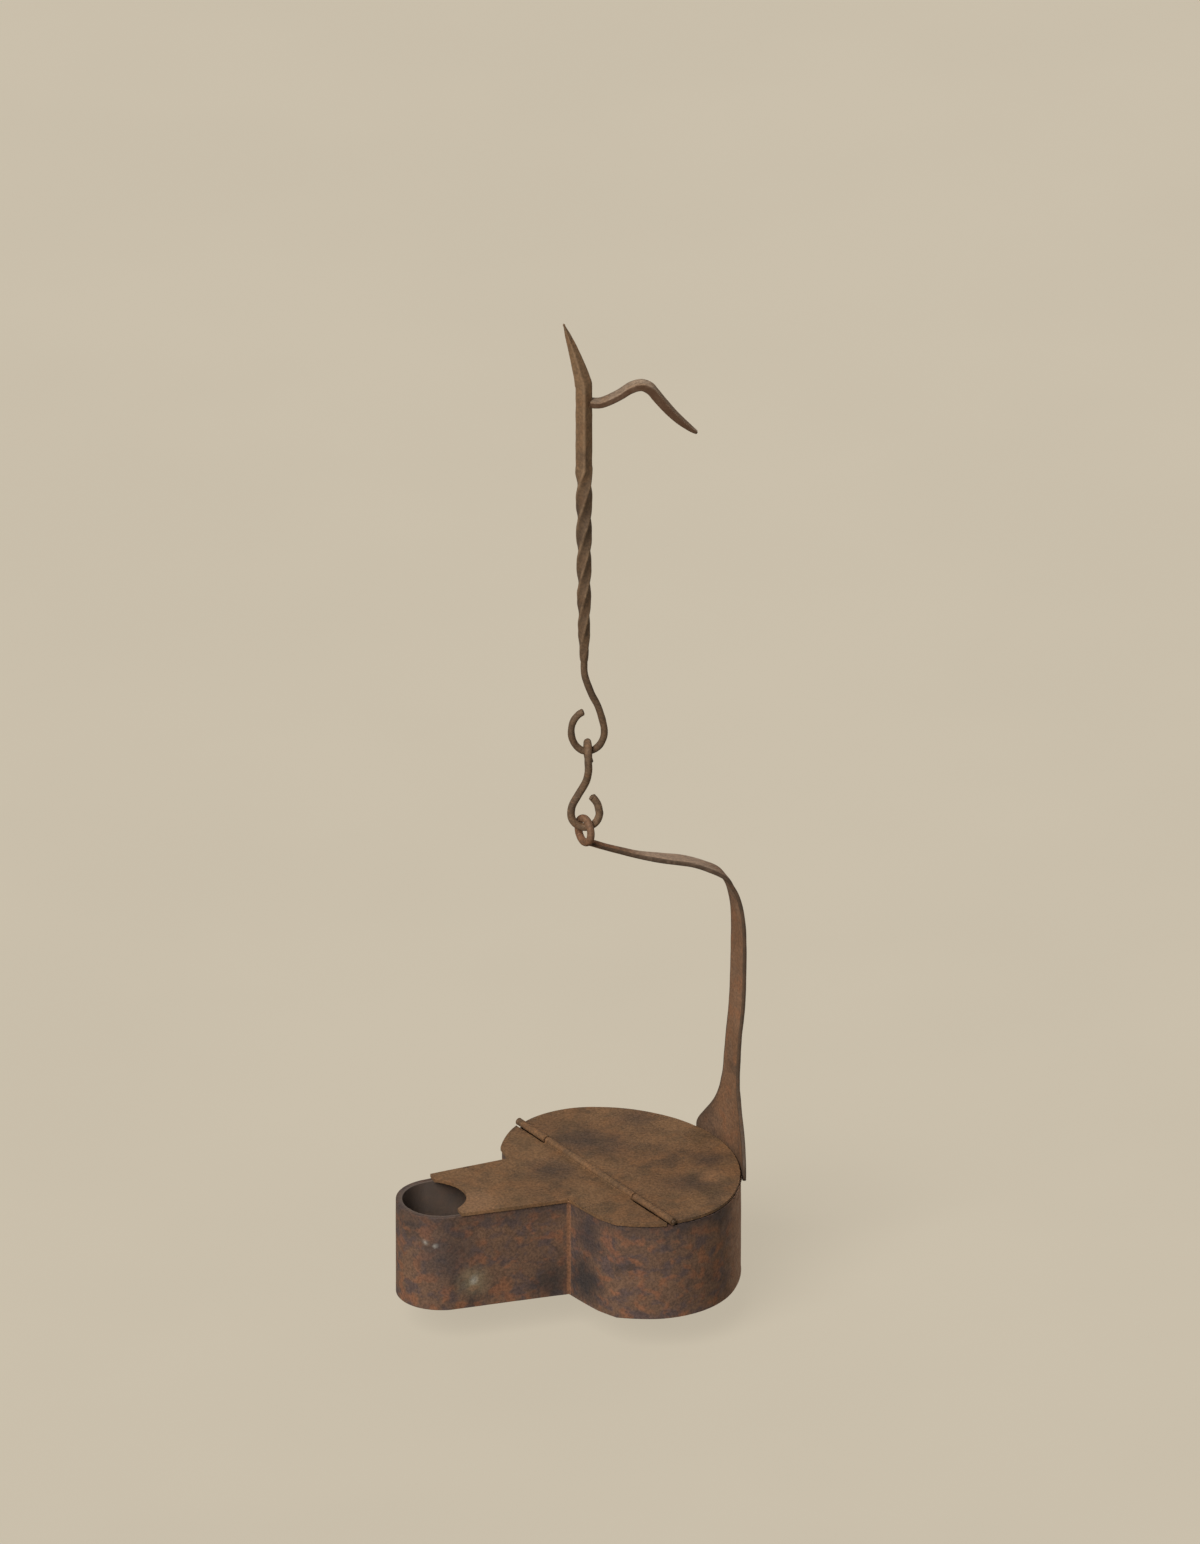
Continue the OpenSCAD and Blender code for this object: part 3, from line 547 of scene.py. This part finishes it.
# The rim darkening at the top of the walls is painted shade under the plates' edge
wall_rust = rust(
    "wall_rust", mid=(0.108, 0.06, 0.037), light=(0.136, 0.074, 0.043), dark=(0.04, 0.028, 0.024),
    orange=(0.2, 0.08, 0.037), cool=(0.066, 0.045, 0.043), edge=(0.17, 0.093, 0.052),
    shares=(0.85, 0.62, 0.75), patch=4.0, rim=(LAMP[2] + WALL_SHADE_RIM[0], LAMP[2] + WALL_SHADE_RIM[1]),
    marks=wall_marks)
plate_rust = rust(
    "plate_rust", mid=(0.12, 0.061, 0.027), light=(0.15, 0.079, 0.035), dark=(0.06, 0.036, 0.02),
    orange=(0.168, 0.078, 0.031), cool=(0.082, 0.049, 0.024), edge=(0.21, 0.115, 0.058),
    shares=(0.65, 0.45, 0.5), patch=7.0, marks=plate_marks)
sooty_rust = rust(
    "sooty_rust", mid=(0.075, 0.058, 0.047), light=(0.13, 0.1, 0.08), dark=SOOT,
    orange=(0.13, 0.08, 0.05), cool=(0.2, 0.18, 0.155), edge=(0.17, 0.14, 0.11),
    shares=(0.7, 0.25, 0.6), patch=2.5)


# Hanger: spike, bar, twist, neck and hook in one sweep


def bar_turn(z):
    """Turn of the square section at a height: an edge to the front, then the twist."""
    share = min(max((BAR_FOOT - z) / TWIST_LEN, 0), 1)
    return math.radians(45 + 360 * TWIST_TURNS * share)


def bar_half(z):
    """Half width of the bar at a height: straight above the twist, then drawn down to the wire."""
    twist_half, draw_power = 0.52 * BAR_SIDE, 0.45
    if z > BAR_FOOT:
        return BAR_SIDE / 2
    return WIRE_R + (twist_half - WIRE_R) * max((z - NECK_H) / TWIST_LEN, 0) ** draw_power


def hanger_path():
    """Path and sizes of the hanger from the spike's tip to the hook's."""
    bar_sq, round_sq, rounding = 10.0, 2.0, 4
    spike_rings, bar_rings, twist_rings = 26, 30, 150
    spike_bend, spike_root, spike_taper, spike_tip = 1.2, 0.53 * BAR_SIDE, 0.6, 0.33
    path, sizes = [], []
    for share in np.linspace(1, 0, spike_rings)[:-1]:
        path.append([BAR_X - SPIKE_LEAN * share ** spike_bend, 0, BAR_TOP + SPIKE_LEN * share])
        half = max(spike_root * (1 - share) ** spike_taper, spike_tip)
        sizes.append([half, half, bar_sq, bar_turn(BAR_TOP)])
    for z in np.linspace(BAR_TOP, BAR_FOOT, bar_rings):
        path.append([BAR_X, 0, z])
        sizes.append([bar_half(z), bar_half(z), bar_sq, bar_turn(z)])
    for z in np.linspace(BAR_FOOT, NECK_H, twist_rings)[1:]:
        share = (BAR_FOOT - z) / TWIST_LEN
        path.append([BAR_X, 0, z])
        squareness = bar_sq + (round_sq - bar_sq) * share ** rounding
        sizes.append([bar_half(z), bar_half(z), squareness, bar_turn(z)])
    hook_from, hook_turn, hook_steps = 22, 278, 80
    hook = []
    for i in range(hook_steps + 1):
        a = math.radians(hook_from - hook_turn * i / hook_steps)
        hook.append([HOOK_W * math.cos(a), 0, HOOK_H + HOOK_H * math.sin(a)])
    neck_steps, neck_clear = 12, 0.5
    neck_keys = [path[-2], [BAR_X + HOOK_W * 0.04, 0, NECK_H * 0.85],
                 [BAR_X + HOOK_W * 0.4, 0, NECK_H * 0.66], [HOOK_W * 0.68, 0, HOOK_H * 2.1], hook[0], hook[5]]
    neck = smooth(neck_keys, neck_steps)[1:-neck_steps - 1]
    neck = neck[neck[:, 2] < NECK_H - neck_clear]
    for p in [*neck, *hook]:
        path.append(list(p))
        sizes.append([WIRE_R, WIRE_R, round_sq, bar_turn(0)])
    return np.array(path), np.array(sizes)


def build_hanger():
    """The hanger's bar, with hammer marks."""
    skin = Skin(count=36)
    path, sizes = with_blunt_ends(*hanger_path(), blunt=0.3)
    sweep(skin, path, sizes, ACROSS, dent=0.22, dent_size=3.2)
    piece("hanger_bar_forged", "hanger_bar", "hanger", in_hanger(skin.points), skin.faces,
          skin.wear_and_shade, bar_rust)


def build_side_arm():
    """The flat arm that hooks over a ledge."""
    arm_sq = 11.0
    root_x = BAR_X + BAR_SIDE * 0.66 - ARM_SEAT
    root_z = BAR_TOP - ARM_DROP
    # Shares of the reach, heights over the root, shares of the thickness and width
    shape = [(0.13, -0.02 * ARM_RISE, 1, 1), (0.28, 0.4 * ARM_RISE, 1.05, 1),
             (0.39, 0.84 * ARM_RISE, 1.15, 1), (0.49, ARM_RISE, 1.25, 1),
             (0.57, 0.77 * ARM_RISE, 1.45, 1), (0.62, 0.38 * ARM_RISE, 1.45, 1),
             (0.7, -0.13 * ARM_FALL, 1.35, 1), (0.77, -0.38 * ARM_FALL, 1.2, 0.95),
             (0.85, -0.63 * ARM_FALL, 1, 0.85), (0.945, -0.88 * ARM_FALL, 0.7, 0.6),
             (1, -ARM_FALL, 0.45, 0.35)]
    keys = [[ARM_REACH * reach, root_z + up, *sizes] for reach, up, *sizes in shape]
    arm = smooth([[root_x, root_z, 1, 1], *keys], steps=10)
    path = np.column_stack([arm[:, 0], np.zeros(len(arm)), arm[:, 1]])
    sizes = [[ARM_T / 2 * k[2], ARM_W / 2 * k[3], arm_sq, 0] for k in arm]
    skin = Skin(count=40)
    path, sizes = with_blunt_ends(path, sizes, blunt=0.2)
    sweep(skin, path, sizes, ACROSS, dent=0.1, dent_size=3.0, flat=True)
    piece("side_arm_forged", "side_arm", "hanger", in_hanger(skin.points), skin.faces,
          skin.wear_and_shade, arm_rust)


def build_link():
    """The S-shaped link: tail, upper hook, shank, lower hook and its end."""
    tail_rings, arch_rings, bow_rings = 9, 33, 49
    bow_z = LINK_HOOK_H - LINK_LEN
    arch = [[0, HOOK_STEP * math.cos(a), HOOK_STEP * math.sin(a)]
            for a in np.linspace(0, math.pi, arch_rings)]
    bow = [[LINK_HOOK_W * math.cos(a) - LINK_SHIFT, 0, bow_z + LINK_HOOK_H * math.sin(a)]
           for a in np.linspace(math.pi, 2 * math.pi, bow_rings)]
    tail = [[TAIL_LEAN * share ** 2, HOOK_STEP, -LINK_TAIL * share]
            for share in np.linspace(1, 0, tail_rings)[:-1]]

    def shank_key(aside, shift, behind, drop):
        return [LINK_HOOK_W * aside - LINK_SHIFT * shift, -HOOK_STEP * behind, bow_z * drop]

    def end_key(aside, up):
        return [LINK_HOOK_W * aside - LINK_SHIFT, 0, bow_z + LINK_HOOK_H * up]

    shank_keys = [arch[-1], shank_key(0, 0, 1, 0.12), shank_key(0, 0, 0.85, 0.29),
                  shank_key(-0.07, 0.6, 0.3, 0.49), shank_key(-0.55, 0.8, 0, 0.71),
                  shank_key(-0.9, 1, 0, 0.87), bow[0], bow[5]]
    shank_steps = 10
    shank = smooth(shank_keys, shank_steps)[1:-shank_steps - 1]
    end_keys = [bow[-2], bow[-1], end_key(0.85, 0.65), end_key(0.45, 1.2)]
    end_steps = 8
    end = smooth(end_keys, end_steps)[end_steps + 1:]
    path = np.vstack([tail, arch, shank, bow, end])
    sizes = [[WIRE_R, WIRE_R, WIRE_SQ, 0] for _ in path]
    skin = Skin(count=24)
    path, sizes = with_blunt_ends(path, sizes, blunt=0.25)
    sweep(skin, path, sizes, unit(np.array([1.0, 1.0, 0.0])), dent=0.1, dent_size=2.4)
    piece("link_wire", "link", "link", in_hanger(skin.points), skin.faces, skin.wear_and_shade,
          wire_rust)


# Handle: a foot bent round the drum, an upright strap, an arm and an eye


def soft_min(a, b, reach):
    """The lesser of two values, rounded off where they differ by less than a reach."""
    gap = max(reach - abs(a - b), 0)
    return min(a, b) - gap ** 2 / (4 * reach)


def foot_half(z):
    """Half width of the foot at a height: a tongue, two wings over it and a hollow flare to the strap."""
    tip_rounding = 6.0
    half = FOOT_HALF_W
    up = z - FOOT_LOW
    under_z = WING_Z - UNDER_R
    if z < under_z:
        half = TONGUE_W / 2
    elif z < WING_Z:
        half = min(half, TONGUE_W / 2 + UNDER_R - math.sqrt(UNDER_R ** 2 - (z - under_z) ** 2))
    else:
        flare = FLARE_HALF + FLARE_R - math.sqrt(max(FLARE_R ** 2 - (FLARE_Z - z) ** 2, 0))
        half = soft_min(half, flare, tip_rounding)
    if up < TONGUE_R:
        half -= TONGUE_R - math.sqrt(TONGUE_R ** 2 - (TONGUE_R - up) ** 2)
    return half


def strap_path():
    """The strap above its foot, as rows of [x, z, half thickness, half width, squareness]."""
    root_sq, strap_sq, narrow_sq, round_sq = 6, 5, 3.5, 2
    eye_way = np.array([-math.cos(EYE_SLOPE), math.sin(EYE_SLOPE)])
    eye_root = np.array([-EYE_X, EYE_Z]) - 2 * EYE_R * eye_way
    corner = np.array([STRAP_X - CORNER_IN, CORNER_Z])

    def upright_key(lean, height, width):
        return [STRAP_X + LEAN_OUT * lean, CORNER_Z * height, STRAP_T / 2, STRAP_W / 2 * width, strap_sq]

    def arm_key(share, bow, width, squareness):
        x, z = corner + (eye_root - corner) * share
        return [x, z + ARM_BOW * bow, STRAP_T / 2 + (WIRE_R - STRAP_T / 2) * share,
                WIRE_R + (STRAP_W / 2 - WIRE_R) * width, squareness]

    keys = [[STRAP_X, STRAP_FOOT, STRAP_T / 2, FLARE_HALF, root_sq],
            upright_key(0.35, 0.4, 0.94), upright_key(0.75, 0.5, 1), upright_key(1, 0.6, 1.04),
            upright_key(1.1, 0.77, 1), upright_key(0.85, 0.86, 0.92), upright_key(0.2, 0.925, 0.86),
            upright_key(-0.7, 0.967, 0.8),
            arm_key(0, 0, 0.7, strap_sq), arm_key(0.1, 1.2, 0.54, strap_sq),
            arm_key(0.24, 1.7, 0.43, strap_sq), arm_key(0.42, 0.7, 0.36, strap_sq),
            arm_key(0.61, -0.2, 0.14, narrow_sq), arm_key(0.83, -0.1, 0.02, round_sq),
            arm_key(0.95, 0.2, 0, round_sq), arm_key(1, 0, 0, round_sq)]
    rows = smooth(keys, steps=12)
    for row in rows:
        if row[1] < FLARE_Z:
            row[3] = max(row[3], foot_half(row[1]))
    return rows


def foot_heights():
    """Heights of the foot's rings, closer together where its outline turns quickly."""
    corner_rings, tongue_rings, under_rings, flare_rings = 8, 14, 30, 34
    under_z = WING_Z - UNDER_R
    corner = FOOT_LOW + TONGUE_R * (1 - np.cos(np.linspace(0, math.pi / 2, corner_rings)))
    tongue = np.linspace(FOOT_LOW + TONGUE_R, under_z, tongue_rings)[1:]
    under = under_z + UNDER_R * np.sin(np.linspace(0, math.pi / 2, under_rings))[1:]
    flare = np.linspace(WING_Z, STRAP_FOOT, flare_rings)[1:-1]
    return np.concatenate([corner, tongue, under, flare])


def build_handle():
    """The strap with its foot bent round the drum, and the eye."""
    flat_over = 14.0
    foot_sq, edge_start = 8, 0.84
    dent, dent_size, dent_fade = 0.14, 4.0, 1.5
    rows = [[STRAP_X, z, STRAP_T / 2, foot_half(z), foot_sq] for z in foot_heights()]
    rows = np.vstack([rows, strap_path()])
    path = np.column_stack([rows[:, 0], np.zeros(len(rows)), rows[:, 1]])
    skin = Skin(count=52)
    for (x, z, thick, wide, squareness), way in zip(rows, headings(path)):
        out = np.cross(ACROSS, way)
        shares = outline(skin.count, squareness)
        # The foot lies on the arc of the drum's back and the strap above it is flat
        bent_share = max(0.0, min(1.0, (FLARE_Z + flat_over - z) / flat_over))
        points = []
        for over, aside in zip(shares[:, 0] * thick, shares[:, 1] * wide):
            q = np.array([x, 0, z]) + out * over + ACROSS * aside
            if bent_share > 0:
                turn = math.asin((aside - BACK_MID[1]) / FOOT_R)
                bent = [BACK_MID[0] + (FOOT_R + over) * math.cos(turn) + x - STRAP_X,
                        BACK_MID[1] + (FOOT_R + over) * math.sin(turn), z]
                q = q + (np.array(bent) - q) * bent_share
            sunk = min(dent * grain(q, dent_size), DEEPEST * thick)
            # Dents fade out toward the strap's middle plane
            points.append(q - out * math.copysign(sunk, over) * min(abs(over) / thick * dent_fade, 1))
        # The strap's narrow sides are marked for painted shade
        skin.ring(points, narrow_side_shade(shares, edge_start))
    skin.close(0, len(rows))

    eye_way = np.array([-math.cos(EYE_SLOPE), 0, math.sin(EYE_SLOPE)])
    eye_across = np.array([-math.sin(EYE_TURN), math.cos(EYE_TURN), 0])
    eye_mid = np.array([-EYE_X, 0, EYE_Z]) - eye_way * EYE_R
    eye_steps = 72
    eye = np.array([eye_mid + eye_way * EYE_R * math.cos(a) + eye_across * EYE_R * math.sin(a)
                    for a in np.arange(eye_steps) * 2 * math.pi / eye_steps])
    sizes = [[WIRE_R, WIRE_R, WIRE_SQ, 0]] * len(eye)
    sweep(skin, eye, sizes, unit(np.cross(eye_way, eye_across)), closed=True, dent=0.1, dent_size=2.4)
    piece("handle_strap", "handle", "lamp", in_lamp(skin.points), skin.faces, skin.wear_and_shade,
          strap_rust)


# Sheet pieces and fasteners: the solids with soft edges and hammer marks


def in_spout(x, y):
    """Whether a point of the lamp's frame lies inside the spout, from about the middle of its wall inward."""
    middle = 0.6 * SPOUT_WALL_T
    ahead = -x
    if ahead > SPOUT_LEN:
        return math.hypot(ahead - SPOUT_LEN, y) < SPOUT_TIP_W / 2 - middle
    narrowing = (SPOUT_ROOT_W - SPOUT_TIP_W) * (SPOUT_LEN - ahead) / (SPOUT_LEN - FRONT_REACH)
    return abs(y) < (SPOUT_TIP_W + narrowing) / 2 - middle


def softened(name, node, body, material, edge, dent, cell, burnt=False):
    """A piece from a node's solid: flat faces joined, edges rounded, cut to cells and dented.

    Edge, dent and cell are millimetres. A burnt piece is sooty inside the spout.
    """
    same_point = 1e-7
    flat_angle, crease = math.radians(0.5), math.radians(35)
    broad_dent, small_dent, small_share = 9.0, 3.5, 0.35
    bm = bmesh.new()
    bm.from_mesh(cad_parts[node].data)
    bmesh.ops.remove_doubles(bm, verts=bm.verts, dist=same_point)
    bmesh.ops.dissolve_limit(bm, angle_limit=flat_angle, verts=bm.verts, edges=bm.edges)
    sharp = [e for e in bm.edges if e.is_manifold and e.calc_face_angle() > crease]
    made = bmesh.ops.bevel(bm, geom=sharp, offset=edge * MM, offset_type="OFFSET", segments=3, profile=0.5,
                           affect="EDGES", clamp_overlap=True)
    rim = {v for f in made["faces"] for v in f.verts}
    wear_and_shade = bm.verts.layers.float.new("wear_and_shade")
    for v in bm.verts:
        v[wear_and_shade] = 1.0 if v in rim else 0.0
    soot = bm.verts.layers.float.new("soot")
    low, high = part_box(node)
    for axis in range(3):
        cuts = int((high[axis] - low[axis]) / (cell * MM))
        for i in range(1, cuts):
            at, across = Vector((0, 0, 0)), Vector((0, 0, 0))
            at[axis] = low[axis] + (high[axis] - low[axis]) * i / cuts
            across[axis] = 1
            bmesh.ops.bisect_plane(bm, geom=[*bm.verts, *bm.edges, *bm.faces], plane_co=at, plane_no=across,
                                   dist=same_point)
    bmesh.ops.triangulate(bm, faces=[f for f in bm.faces if len(f.verts) > 4])
    bm.normal_update()
    for v in bm.verts:
        x, y, _ = np.array(v.co) / MM - LAMP
        v[soot] = 1.0 if burnt and in_spout(x, y) else 0.0
        broad = grain(v.co / MM, broad_dent)
        small = grain(v.co / MM, small_dent)
        v.co -= v.normal * (dent * broad + small_share * dent * small) * MM
    mesh = bpy.data.meshes.new(name)
    bm.to_mesh(mesh)
    bm.free()
    return dressed(mesh, name, node, body, material)


build_hanger()
build_side_arm()
build_link()
build_handle()
softened("drum_wall_sheet", "drum_wall", "lamp", wall_rust, edge=0.2, dent=0.14, cell=2.5)
softened("spout_wall_sheet", "spout_wall", "lamp", wall_rust, edge=0.25, dent=0.14, cell=2.5,
         burnt=True)
softened("floor_sheet", "floor_plate", "lamp", wall_rust, edge=0.2, dent=0.14, cell=3.0)
softened("front_cover_sheet", "front_cover", "lamp", plate_rust, edge=0.3, dent=0.12, cell=2.5)
softened("lid_sheet", "lid", "lid", plate_rust, edge=0.3, dent=0.12, cell=2.5)
softened("hinge_pin_wire", "hinge_pin", "lamp", wire_rust, edge=0.2, dent=0.02, cell=3.0)
softened("handle_rivet_heads", "handle_rivets", "lamp", strap_rust, edge=0.2, dent=0.06,
         cell=1.0)
softened("wick_trough", "wick_support", "lamp", sooty_rust, edge=0.2, dent=0.08, cell=2.0)
softened("wick_trough_rivet", "wick_support_rivet", "lamp", sooty_rust, edge=0.2, dent=0.05,
         cell=1.0)


# Floor, light and camera, in metres


def studio():
    """A paper floor close under the lamp, a dim world and two lights."""
    floor_gap = 0.012
    floor_half = 6.0
    paper = (0.6, 0.53, 0.415)
    # Share of the floor's tone that stays even, so that only a soft shadow shows on it
    even_share = 0.62
    even_strength = 1.33
    # Tone of the floor that light bounces from, as a share of the paper's
    bounce = 0.36
    mottle, mottle_size, paper_roughness = 0.01, 120, 0.95
    world_tone, world_strength = (1, 0.985, 0.96, 1), 0.12
    mesh = bpy.data.meshes.new("floor")
    z = cad_box[0].z - floor_gap
    mesh.from_pydata([(-floor_half, -floor_half, z), (floor_half, -floor_half, z),
                      (floor_half, floor_half, z), (-floor_half, floor_half, z)], [], [(0, 1, 2, 3)])
    floor = bpy.data.objects.new("floor", mesh)
    bpy.context.scene.collection.objects.link(floor)
    r = Surface("paper_floor")
    darker, lighter = (tuple(k * c for c in paper) for k in (1 - mottle, 1 + mottle))
    shade = r.mix(r.span(r.noise(mottle_size, detail=3, rough=0.5), 0.3, 0.7), darker, lighter)
    r.join(r.mix(1.0, shade, (bounce, bounce, bounce), "MULTIPLY"), r.shader.inputs["Base Color"])
    r.shader.inputs["Roughness"].default_value = paper_roughness
    r.shader.inputs["Specular IOR Level"].default_value = 0.0
    glow = r.add("ShaderNodeEmission")
    r.join(shade, glow.inputs["Color"])
    glow.inputs["Strength"].default_value = even_strength
    path = r.add("ShaderNodeLightPath").outputs
    seen = r.math("MAXIMUM", path["Is Camera Ray"], path["Is Glossy Ray"])
    seen = r.math("MAXIMUM", seen, path["Is Transmission Ray"])
    blend = r.add("ShaderNodeMixShader")
    r.join(r.math("MULTIPLY", seen, even_share), blend.inputs[0])
    r.join(r.shader.outputs["BSDF"], blend.inputs[1])
    r.join(glow.outputs["Emission"], blend.inputs[2])
    r.join(blend.outputs["Shader"], r.tree.nodes["Material Output"].inputs["Surface"])
    mesh.materials.append(r.material)

    world = bpy.data.worlds.new("studio")
    world.use_nodes = True
    world.node_tree.nodes["Background"].inputs["Color"].default_value = world_tone
    world.node_tree.nodes["Background"].inputs["Strength"].default_value = world_strength
    bpy.context.scene.world = world

    # A broad light from the left, so that right-hand faces lie in shade, and a weak one from behind
    # without a glare of its own
    for name, energy, angle, toward, glare in (("key_light", 4.3, 40, (-0.56, -0.47, 0.68), True),
                                               ("back_light", 1.5, 70, (0.82, 0.53, 0.2), False)):
        light = bpy.data.lights.new(name, "SUN")
        light.energy = energy
        light.angle = math.radians(angle)
        sun = bpy.data.objects.new(name, light)
        sun.visible_glossy = glare
        sun.rotation_mode = "QUATERNION"
        sun.rotation_quaternion = Vector(toward).to_track_quat("Z", "Y")
        bpy.context.scene.collection.objects.link(sun)


def camera():
    """A long lens at the photograph's angle, framed for a picture of 1200 by 1544 pixels."""
    frame_px = (1200, 1544)
    px_per_mm = 3.39
    lid_middle_px = (621, 1166.4)
    azimuth, elevation = math.radians(-20), math.radians(26.5)
    distance = 12.0
    # The scale is exact this far in front of the lid's middle, about halfway to the spike
    mid_depth = 0.06
    right = Vector((math.cos(azimuth), math.sin(azimuth), 0))
    back = Vector((math.sin(azimuth) * math.cos(elevation), -math.cos(azimuth) * math.cos(elevation),
                   math.sin(elevation)))
    up = back.cross(right)
    aside = (frame_px[0] / 2 - lid_middle_px[0]) / px_per_mm * MM
    above = (lid_middle_px[1] - frame_px[1] / 2) / px_per_mm * MM
    aim = Vector(LAMP * MM) + right * aside + up * above
    data = bpy.data.cameras.new("photo_camera")
    data.lens = data.sensor_width * distance / (frame_px[1] / px_per_mm * MM)
    data.clip_end = 100
    view = bpy.data.objects.new("photo_camera", data)
    view.location = aim + back * (distance + mid_depth)
    view.rotation_mode = "QUATERNION"
    view.rotation_quaternion = back.to_track_quat("Z", "Y")
    bpy.context.scene.collection.objects.link(view)
    bpy.context.scene.camera = view


studio()
camera()
bpy.context.scene.view_settings.view_transform = "Standard"
